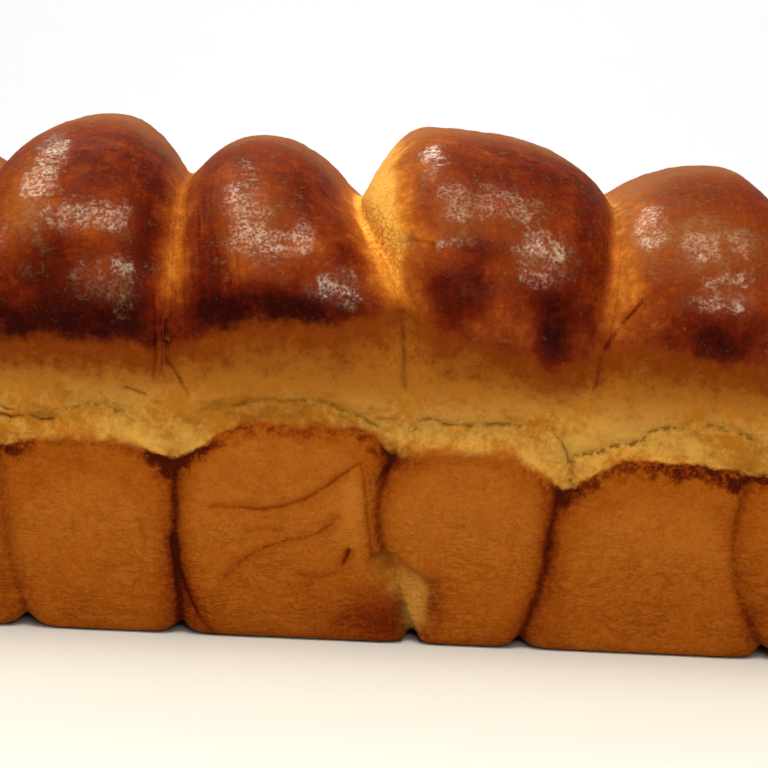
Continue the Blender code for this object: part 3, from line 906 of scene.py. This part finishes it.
# %% Build the relief tree
def relief_tree(material):
    tree = bpy.data.node_groups.new("relief", "GeometryNodeTree")
    board = Board(tree)
    tree.interface.new_socket("Geometry", in_out="INPUT", socket_type="NodeSocketGeometry")
    for name, depth in RELIEF.items():
        tree.interface.new_socket(name, in_out="INPUT", socket_type="NodeSocketFloat").default_value = depth
    tree.interface.new_socket("Geometry", in_out="OUTPUT", socket_type="NodeSocketGeometry")
    source = board.add("NodeGroupInput")
    depth = {name: Num(board, source.outputs[name]) for name in RELIEF}

    place = board.stretch(board.add("GeometryNodeInputPosition").outputs[0], (1.0 / MM, 1.0 / MM, 1.0 / MM))
    height = Num(board, board.add("ShaderNodeSeparateXYZ", {}, {0: place}).outputs["Z"])
    rim, wash = board.mark("above_rim"), board.mark("above_wash")
    seam, crack, fold = board.mark("from_seam"), board.mark("crack"), board.mark("fold")

    ragged = board.grain(place, 4.0, 3.0) * 3.0
    pan = 1.0 - board.step(rim + ragged, -0.8, 0.6)
    torn = board.step(rim + ragged, -0.8, 1.0) * (1.0 - board.step(height + ragged * 2.0, *TORN_BAND_TOP))
    washed = board.step(wash + ragged, -1.0, 2.0)
    bare = board.step(board.mark("torn_patch") + ragged * 0.1, 0.35, 0.6)

    relief = board.grain(place, 15.0, 2.0) * depth["Swell"] + board.mark("lift")
    relief += board.grain(place, 5.0, 4.0, 0.55, 0.4) * depth["Crag"] * (torn + bare)
    relief += board.grain(place, (1.6, 1.6, 3.6), 3.0, 0.55) * depth["Fibre"] * (torn + bare)
    wander = board.grain(place, 1.8, 3.0, 0.65) * 1.8
    relief -= board.bell(crack + wander, 0.6) * depth["Crack"] * torn * board.mark("crack_depth")
    relief -= board.bell(seam + wander * 0.3, 0.8) * depth["Seam"] * board.mark("seam_dark")
    relief -= board.bell(rim + ragged * 0.5 - 0.6, 0.9) * depth["Rim crease"] * board.mark("burn")
    relief -= board.bell(fold + wander * 0.25, 0.6) * depth["Fold"] * board.mark("fold_depth")
    ridges = abs(board.grain(place, (6.0, 6.0, 1.7), 2.0, 0.5, 1.5)) * -2.0
    relief += ridges * depth["Wrinkle"] * pan * (1.0 - board.step(height, *RIDGES_FADE) * 0.7)
    relief += board.grain(place, 2.2, 3.0, 0.6) * depth["Crinkle"] * washed
    relief += board.grain(place, 6.0, 2.0) * depth["Crinkle"] * 1.2
    relief += board.streaks(board.mark("across_roll"), height, 1.7, 14.0) * depth["Stretch mark"] * washed
    web = board.step(board.mark("valley"), 0.45, 0.9)
    relief += board.grain(place, 2.0, 3.0, 0.6) * depth["Web crumb"] * web
    relief -= bare * depth["Torn patch"]
    relief = relief * board.step(height, *FLAT_BASE)

    normal = board.add("GeometryNodeInputNormal").outputs[0]
    offset = board.add("ShaderNodeVectorMath", {"operation": "SCALE"}, {0: normal, "Scale": relief * MM})
    moved = board.add(
        "GeometryNodeSetPosition", {}, {"Geometry": source.outputs["Geometry"], "Offset": offset.outputs[0]}
    )
    real = board.add("GeometryNodeRealizeInstances", {}, {"Geometry": moved.outputs[0]})
    painted = board.add("GeometryNodeSetMaterial", {}, {"Geometry": real.outputs[0], "Material": material})
    board.add("NodeGroupOutput", {}, {"Geometry": painted.outputs[0]})
    return tree


# %% Put the skin through the tree
def through_nodes(mesh, tree, sizes):
    """The mesh that a Geometry Nodes tree makes from a mesh. sizes holds the tree's inputs by name."""
    holder = bpy.data.objects.new("holder", mesh)
    bpy.context.scene.collection.objects.link(holder)
    nodes = holder.modifiers.new("nodes", "NODES")
    nodes.node_group = tree
    for item in tree.interface.items_tree:
        if item.in_out == "INPUT" and item.name in sizes:
            nodes[item.identifier] = sizes[item.name]
    bpy.context.view_layer.update()
    made = bpy.data.meshes.new_from_object(holder.evaluated_get(bpy.context.evaluated_depsgraph_get()))
    bpy.data.objects.remove(holder, do_unlink=True)
    return made


crust = bpy.data.materials.new("challah_crust")
crusty = through_nodes(skin, relief_tree(crust), RELIEF)
bpy.data.meshes.remove(skin)
points = points_of(crusty) / MM
print("with relief, mm:", np.round(points.min(axis=0), 1), np.round(points.max(axis=0), 1))

# %% [markdown]
# ## Back to six rolls
#
# The bread pulls apart along its seams, so the fine skin is split there into one piece for each roll. The
# cut runs down the valley line and the pan crease, where nothing of it shows, and each piece is closed with
# an inner wall. The normals along the cut are taken from the whole skin, so that light passes over it
# unbroken.


# %% Which roll a face belongs to, and its inner wall
def face_rolls(points, quads):
    middles = points[quads].mean(axis=1)
    return (distances_to_seams(middles) > 0.0).sum(axis=0)


def inner_walls(faces, points):
    """Triangles that close a piece: a fan to the middle of each open ring."""
    starts, ends = faces.ravel(), np.roll(faces, -1, axis=1).ravel()
    size = len(points)
    forward = starts.astype(np.int64) * size + ends
    backward = ends.astype(np.int64) * size + starts
    open_edge = ~np.isin(forward, backward)
    starts, ends = starts[open_edge], ends[open_edge]
    ring_x = points[starts, 0]
    walls, middles = [], []
    limit = points[np.unique(faces), 0].mean()
    for side in (ring_x < limit, ring_x >= limit):
        if side.any():
            middles.append(points[starts[side]].mean(axis=0))
            hub = np.full(side.sum(), size + len(middles) - 1)
            walls.append(np.column_stack([ends[side], starts[side], hub]))
    return np.concatenate(walls), np.array(middles)


# %% Make the mesh of one roll
def roll_piece(k, points, quads, rolls, normals, marks):
    faces = quads[rolls == k]
    used, faces = np.unique(faces, return_inverse=True)
    faces = faces.reshape(-1, 4)
    mine = points[used]
    walls, middles = inner_walls(faces, mine)
    mesh = bpy.data.meshes.new(f"roll_{k + 1}")
    mesh.vertices.add(len(mine) + len(middles))
    mesh.vertices.foreach_set("co", (np.concatenate([mine, middles]) * MM).ravel())
    corners = np.concatenate([faces.ravel(), walls.ravel()])
    sizes = np.concatenate([np.full(len(faces), 4), np.full(len(walls), 3)])
    mesh.loops.add(len(corners))
    mesh.loops.foreach_set("vertex_index", corners.astype(np.int32))
    mesh.polygons.add(len(sizes))
    mesh.polygons.foreach_set("loop_start", np.concatenate([[0], np.cumsum(sizes)[:-1]]).astype(np.int32))
    mesh.update(calc_edges=True)
    mesh.shade_smooth()
    for name, values in marks.items():
        mark = mesh.attributes.new(name, "FLOAT", "POINT")
        values = np.concatenate([values[used], np.zeros(len(middles))])
        mark.data.foreach_set("value", values.astype(np.float32))
    along = mine[walls[:, 1]] - mine[walls[:, 0]]
    inwards = middles[walls[:, 2] - len(mine)] - mine[walls[:, 0]]
    flat = np.cross(along, inwards)
    flat /= np.linalg.norm(flat, axis=1)[:, None] + 1e-9
    corner_normals = np.concatenate([normals[used][faces.ravel()], np.repeat(flat, 3, axis=0)])
    mesh.normals_split_custom_set(corner_normals.tolist())
    return mesh


# %% Split the skin along its seams
normals = np.zeros(len(points) * 3)
crusty.vertices.foreach_get("normal", normals)
quads = corners_of(crusty)
rolls_of_faces = face_rolls(points, quads)
bread = []
for k in range(len(ROLLS)):
    roll_mesh = roll_piece(k, points, quads, rolls_of_faces, normals.reshape(-1, 3), CRUST_MARKS)
    piece = bpy.data.objects.new(f"roll_{k + 1}", roll_mesh)
    bpy.context.scene.collection.objects.link(piece)
    bread.append(piece)
    print(piece.name, "triangles:", 2 * (rolls_of_faces == k).sum())
bpy.data.meshes.remove(crusty)

# %% [markdown]
# ## The crust
#
# One material paints the whole bread, because on the real loaf each surface runs into the next. It is built
# in layers from the marks: the tan pan side with its dark seams and their painted shade, the pale torn
# crumb, the matte mottled strip above it, and the egg-washed dome with its painted tan sheen. Every layer
# uses the same few noises, and those much finer than the marks make the edges between the layers ragged.


# %% Colours of the crust
def srgb(red, green, blue):
    """A colour as a picture shows it, made linear."""
    def linear(value):
        value /= 255.0
        return value / 12.92 if value <= 0.04045 else ((value + 0.055) / 1.055) ** 2.4
    return (linear(red), linear(green), linear(blue), 1.0)


WASH_STOPS = (
    (0.00, srgb(228, 156, 58)), (0.18, srgb(192, 114, 36)), (0.36, srgb(156, 80, 21)),
    (0.55, srgb(124, 48, 11)), (0.75, srgb(90, 20, 3)), (1.00, srgb(44, 1, 1)),
)
PAN_STOPS = (
    (0.00, srgb(178, 106, 34)), (0.35, srgb(152, 78, 15)), (0.70, srgb(112, 42, 7)), (1.00, srgb(66, 18, 4)),
)
TAN_LOW = srgb(161, 97, 28)
TAN_HIGH = srgb(120, 53, 9)
CRUMB_PALE = srgb(208, 158, 72)
CRUMB_GOLD = srgb(178, 112, 32)
CRUMB_OLIVE = srgb(112, 78, 20)
CRUMB_SHADE = srgb(136, 90, 26)
SLIT_BROWN = srgb(92, 28, 6)
WASH_OLIVE = srgb(152, 88, 26)
# The colour of the painted sheen.
PAINTED_SHEEN_COLOUR = srgb(160, 108, 62)
WEB_GOLD = srgb(204, 130, 44)
WEB_PALE = srgb(238, 179, 83)
print("wash colours:", len(WASH_STOPS), "pan colours:", len(PAN_STOPS))


# %% Noises and marks that the layers share
def mix(low, high, share):
    node = board.add("ShaderNodeMix", {"data_type": "RGBA"}, {0: share, 6: low, 7: high})
    return node.outputs[2]


def ramp(value, stops):
    return board.add("ShaderNodeValToRGB", {"stops": stops}, {0: value}).outputs[0]


crust.use_nodes = True
board = Board(crust.node_tree)
place = board.stretch(board.add("ShaderNodeTexCoord").outputs["Object"], (1.0 / MM, 1.0 / MM, 1.0 / MM))
height = Num(board, board.add("ShaderNodeSeparateXYZ", {}, {0: place}).outputs["Z"])
marks = {name: board.mark(name) for name in CRUST_MARKS}
coarse = board.grain(place, 9.0, 3.0, 0.6)
fine = board.grain(place, 1.6, 3.0, 0.65)
ragged = board.grain(place, 4.0, 4.0, 0.6)
speck = board.grain(place, 0.8, 2.0, 0.6)
streaks = board.streaks(marks["across_roll"], height, 1.3, 11.0)
print("marks in the crust:", len(marks))

# %% [markdown]
# ## Colour of the pan side
#
# The sides that touched the tin are tan and matte. How dark they are, from baking and from painted shade,
# is one sum of marks and noise, and a ramp of colour stops turns the sum into a colour. It is darker in the
# seams and folds, with painted shade around them, and along the burnt edge at the rim, which is partly
# painted shadow; low down it has fine wrinkles, where the dough slid up against the metal.

# %% Colour the pan side
WRINKLE_TOP = (18.0, 50.0)
waves = board.grain(place, (5.2, 5.2, 2.1), 2.0, 0.55, 1.2)
wrinkles = board.step(abs(waves), 0.0, 0.08)
lower = (1.0 - board.step(height, *WRINKLE_TOP) * 0.7) * board.step(coarse, -0.16, 0.04)
# A dark line in each seam, and a wider painted shade around it.
seam_line_and_shade = board.bell(marks["from_seam"] + ragged * 1.6, 0.9) * 0.40
seam_line_and_shade += board.bell(marks["from_seam"] + ragged * 4.0, 3.6) * 0.28
# The edge under the rim: partly burnt crust, partly painted shadow under the overhanging dome.
burnt_edge_and_shade = board.step(marks["above_rim"] + marks["burn"] * 2.4 + ragged * 11.0, -4.5, 0.5)
burnt_edge_and_shade = burnt_edge_and_shade * marks["burn"] * (board.step(fine + ragged * 1.4, -0.22, 0.16) * 0.6 + 0.4)
fold_line = board.bell(marks["fold"] + fine * 0.9, 0.42) * marks["fold_depth"]
fold_line = fold_line * (board.step(coarse + ragged, -0.22, 0.10) * 0.65 + 0.35)
# Painted shade beside each fold, wider than its line.
fold_shade = board.bell(marks["fold"] + ragged * 2.0, 2.0) * marks["fold_depth"]
pan_tone = marks["tone"] + 0.22 + coarse * 0.40 + fine * 0.34 + speck * 0.24
pan_tone += seam_line_and_shade * marks["seam_dark"] + burnt_edge_and_shade * 0.70 - wrinkles * lower * 0.12
pan_tone += fold_line * 0.27 + fold_shade * 0.13
pan_colour = ramp(pan_tone, PAN_STOPS)
print("nodes with the pan side:", len(board.tree.nodes))

# %% [markdown]
# ## Colour of the torn crumb
#
# Just above the rim the skin tore while the dough rose, and the bare crumb dried there: pale gold, with
# painted shade in its hollows and olive cracks along it, with painted shade beside them. The same crumb
# shows through faintly in one hollow of the pan side, where the skin came off with the tin.

# %% Colour the torn crumb
fibres = board.grain(place, (1.3, 1.3, 1.8), 3.0, 0.6)
crumb_share = board.step(fibres * 0.6 + coarse + ragged * 0.6 + marks["pale"] * 0.25, -0.22, 0.24)
crumb_colour = mix(CRUMB_GOLD, CRUMB_PALE, crumb_share)
# Painted shade in patches of the crumb.
shade = board.step(board.grain(place, (6.0, 6.0, 3.0), 3.0, 0.6) - marks["pale"] * 0.20, 0.02, 0.26)
crumb_colour = mix(crumb_colour, CRUMB_SHADE, shade * 0.7)
crack_at = marks["crack"] + fine * 2.4 + ragged * 1.6
# The olive crack: a narrow dark line, with a wider painted shade beside it.
crack_line_and_shade = board.bell(crack_at, 0.45) * 0.55 + board.bell(crack_at, 2.2) * 0.32
crack_line_and_shade = crack_line_and_shade * board.step(coarse + fine, -0.10, 0.10)
crumb_colour = mix(crumb_colour, CRUMB_OLIVE, crack_line_and_shade)
crumb_colour = mix(crumb_colour, SLIT_BROWN, fold_line * 0.7)
bare = board.step(marks["torn_patch"] + ragged * 0.9, 0.15, 1.0)
pan_colour = mix(pan_colour, crumb_colour, bare * 0.55)
print("nodes with the crumb:", len(board.tree.nodes))

# %% [markdown]
# ## Colour of the matte strip and the domes
#
# Above the tear comes a matte strip that the brush left dry. The domes above it were brushed with egg,
# which browns like varnish: nearly black-red where it pooled and freckled with olive. A painted tan sheen
# lightens it on the crowns and where it shines. Down in the valleys the stretched webs of crumb stay golden.

# %% Colour the matte strip and the domes
WEB_LIGHT_HEIGHT = 101.0
into_wash = board.step(marks["above_wash"] + ragged * 13.0 + coarse * 9.0 + fine * 9.0, -15.0, -1.0)
tan_colour = mix(TAN_LOW, TAN_HIGH, into_wash)
speckle = board.step(speck + ragged * 0.5, 0.08, 0.24)
tan_colour = mix(tan_colour, SLIT_BROWN, speckle * 0.35 + fold_line * 0.6)

pooled = marks["brown"] + coarse * 0.62 + fine * 0.30 + ragged * 0.46
pooled = pooled + streaks * marks["strands"] + fold_line * 0.3
wash_colour = ramp(pooled, WASH_STOPS)
freckles = board.step(fine * 0.8 + ragged * 0.5 - marks["brown"] * 0.25, -0.12, 0.10)
wash_colour = mix(wash_colour, WASH_OLIVE, freckles * 0.38)
# Painted sheen: the brown is mixed towards a pale tan where the crust shines and along the crowns.
painted_sheen_share = board.step(marks["bloom"] + coarse * 1.2 + ragged * 0.9 + fine * 0.7 + speck * 0.4, 0.15, 1.15)
wash_colour = mix(wash_colour, PAINTED_SHEEN_COLOUR, painted_sheen_share * 0.62)
webbed = board.step(marks["valley"] - marks["brown"] * 1.2 + ragged * 0.8, 0.35, 0.75)
web_light = board.step(fine + speck + (height - WEB_LIGHT_HEIGHT) * 0.03, -0.25, 0.25)
wash_colour = mix(wash_colour, mix(WEB_GOLD, WEB_PALE, web_light), webbed)
print("nodes with the domes:", len(board.tree.nodes))

# %% [markdown]
# ## Layers, shine and bumps
#
# Each layer covers the one below it from its own line upwards, and noise frays the line. The egg wash is a
# coat over the crust, as it is on the bread: it shines where it lies thick, and a fine grain breaks the
# shine into flecks. The last bumps are too fine for the mesh, so a Bump node makes them, in millimetres.

# %% Join the layers and add the shine
CRUMB_TOP = (55.0, 71.0)
sharp = marks["burn"] * 0.9 + 0.18
above = board.step((marks["above_rim"] + ragged * 4.5) * sharp, -0.8, 0.8)
torn_top = board.step(height + ragged * 6.0 + coarse * 8.0 + fibres * 4.0, *CRUMB_TOP)
washed = board.step(marks["above_wash"] + ragged * 6.0 + coarse * 3.0 + fine * 2.5, -1.8, 2.4)
colour = mix(pan_colour, crumb_colour, above)
colour = mix(colour, tan_colour, above * torn_top)
colour = mix(colour, wash_colour, washed)

shiny = washed * board.step(marks["gloss"] + ragged * 1.1 + coarse * 0.8 + fine * 0.3, 0.25, 0.95)
roughness = 0.85 - washed * 0.15 - shiny * 0.15 + fine * 0.15
coat = shiny * (board.step(speck + fine * 0.5, -0.12, 0.14) * 0.90 + 0.10) + washed * 0.02

bump = (fine * 0.40 + speck * 0.30 + streaks * 0.20) * washed
bump += (speck * 0.20 + fine * 0.20) * (1.0 - washed)
bump += fibres * 0.18 * above * (1.0 - torn_top)
bump += wrinkles * 0.14 * (1.0 - above) * lower
bump -= fold_line * 0.20
bumped = board.add("ShaderNodeBump", {}, {"Strength": 1.0, "Distance": MM, "Height": bump})

shader = board.add(
    "ShaderNodeBsdfPrincipled",
    {},
    {
        "Base Color": colour, "Roughness": roughness, "Metallic": 0.0, "IOR": 1.45,
        "Specular IOR Level": 0.06, "Specular Tint": (1.0, 0.8, 0.5, 1.0),
        "Coat Weight": coat, "Coat Roughness": 0.20, "Coat IOR": 1.6, "Normal": bumped.outputs[0],
    },
)
board.add("ShaderNodeOutputMaterial", {}, {"Surface": shader.outputs[0]})
print("crust nodes:", len(board.tree.nodes))

# %% Give the crust to the rolls
for piece in bread:
    piece.data.materials.append(crust)
    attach(piece, "root")
    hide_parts("loaf")
print("pieces with the crust:", len(bread))

# %% [markdown]
# ## Floor and light
#
# The loaf stands in a pale studio bowl: a plain floor whose rim curves up all round, so no horizon shows.
# The shine on the domes mirrors its surroundings, so the room itself is dim and the light comes from soft
# panels. Wide ones hang high in front, at the upper left and overhead, and one hangs behind at the left.
# Small ones stand low in front and at both sides, and the last one lights the back of the floor. The dim
# gaps between the panels are what keeps the crust's colour deep.

# %% Make the studio bowl
BOWL_FLOOR = 2.0
BOWL_CURVE = 0.9
BOWL_HEIGHT = 1.9
BOWL_STEPS = 12
BOWL_SEGMENTS = 96
BOWL_COLOUR = (0.76, 0.81, 0.90, 1.0)


def pale_bowl():
    profile = [(0.3, 0.0), (1.0, 0.0), (BOWL_FLOOR, 0.0)]
    for i in range(1, BOWL_STEPS + 1):
        turn = 0.5 * math.pi * i / BOWL_STEPS
        profile.append((BOWL_FLOOR + BOWL_CURVE * math.sin(turn), BOWL_CURVE * (1.0 - math.cos(turn))))
    profile.append((BOWL_FLOOR + BOWL_CURVE, BOWL_HEIGHT))
    verts = [(0.0, 0.0, 0.0)]
    for radius, height in profile:
        for j in range(BOWL_SEGMENTS):
            turn = 2.0 * math.pi * j / BOWL_SEGMENTS
            verts.append((radius * math.cos(turn), radius * math.sin(turn), height))
    faces = [(0, 1 + j, 1 + (j + 1) % BOWL_SEGMENTS) for j in range(BOWL_SEGMENTS)]
    for i in range(len(profile) - 1):
        for j in range(BOWL_SEGMENTS):
            here, there = 1 + i * BOWL_SEGMENTS, 1 + (i + 1) * BOWL_SEGMENTS
            following = (j + 1) % BOWL_SEGMENTS
            faces.append((here + j, there + j, there + following, here + following))
    mesh = bpy.data.meshes.new("bowl")
    mesh.from_pydata(verts, [], faces)
    mesh.shade_smooth()
    bowl = bpy.data.objects.new("bowl", mesh)
    bpy.context.scene.collection.objects.link(bowl)
    material = bpy.data.materials.new("pale_floor")
    material.use_nodes = True
    shader = material.node_tree.nodes["Principled BSDF"]
    shader.inputs["Base Color"].default_value = BOWL_COLOUR
    shader.inputs["Roughness"].default_value = 0.9
    shader.inputs["Specular IOR Level"].default_value = 0.1
    mesh.materials.append(material)
    return bowl


pale_bowl()

# %% Hang the light panels
WARM = (1.0, 0.88, 0.66)
CREAM = (1.0, 0.93, 0.82)
LIT_POINT = Vector((0.0, 0.0, 0.07))
FLOOR_PANEL_FACES = Vector((0.0, -0.8, 0.6))
# Name, azimuth and elevation in degrees, distance and size in metres, power in watts and colour.
PANELS = (
    ("front_high", 2.0, 56.0, 1.20, (0.75, 0.50), 8.0, WARM),
    ("front_low", 6.0, 23.0, 1.30, (0.45, 0.26), 3.0, WARM),
    ("back_left", -160.0, 50.0, 1.20, (0.55, 0.36), 4.2, WARM),
    ("left_high", -105.0, 67.0, 1.20, (0.70, 0.40), 5.0, WARM),
    ("zenith", -30.0, 85.0, 1.20, (0.80, 0.55), 4.4, WARM),
    ("left_low", -62.0, 30.0, 1.35, (0.30, 0.40), 1.6, WARM),
    ("right_low", 66.0, 30.0, 1.35, (0.30, 0.40), 1.2, WARM),
    ("floor_behind", 180.0, 50.0, 1.60, (1.6, 0.5), 34.0, CREAM),
)


def hang_panel(name, azimuth, elevation, distance, size, power, colour):
    data = bpy.data.lights.new(name, "AREA")
    data.shape = "RECTANGLE"
    data.size, data.size_y = size
    data.energy = power
    data.color = colour
    light = bpy.data.objects.new(name, data)
    a, e = math.radians(azimuth), math.radians(elevation)
    direction = Vector((math.sin(a) * math.cos(e), -math.cos(a) * math.cos(e), math.sin(e)))
    light.location = LIT_POINT + direction * distance
    facing = FLOOR_PANEL_FACES if name == "floor_behind" else direction
    light.rotation_euler = facing.to_track_quat("Z", "Y").to_euler()
    bpy.context.scene.collection.objects.link(light)


for panel in PANELS:
    hang_panel(*panel)
print("panels:", len(PANELS))

# %% Dim the room
ROOM_COLOUR = (1.0, 0.92, 0.78, 1.0)
ROOM_STRENGTH = 0.14
world = bpy.data.worlds.new("dim_room")
world.use_nodes = True
sky = world.node_tree.nodes["Background"]
sky.inputs["Color"].default_value = ROOM_COLOUR
sky.inputs["Strength"].default_value = ROOM_STRENGTH
bpy.context.scene.world = world
bpy.context.scene.view_settings.view_transform = "Standard"
print("room light:", ROOM_STRENGTH)

# %% [markdown]
# ## Finish
#
# The dressed loaf keeps to the solid's box.

# %% Finish
bpy.context.view_layer.update()
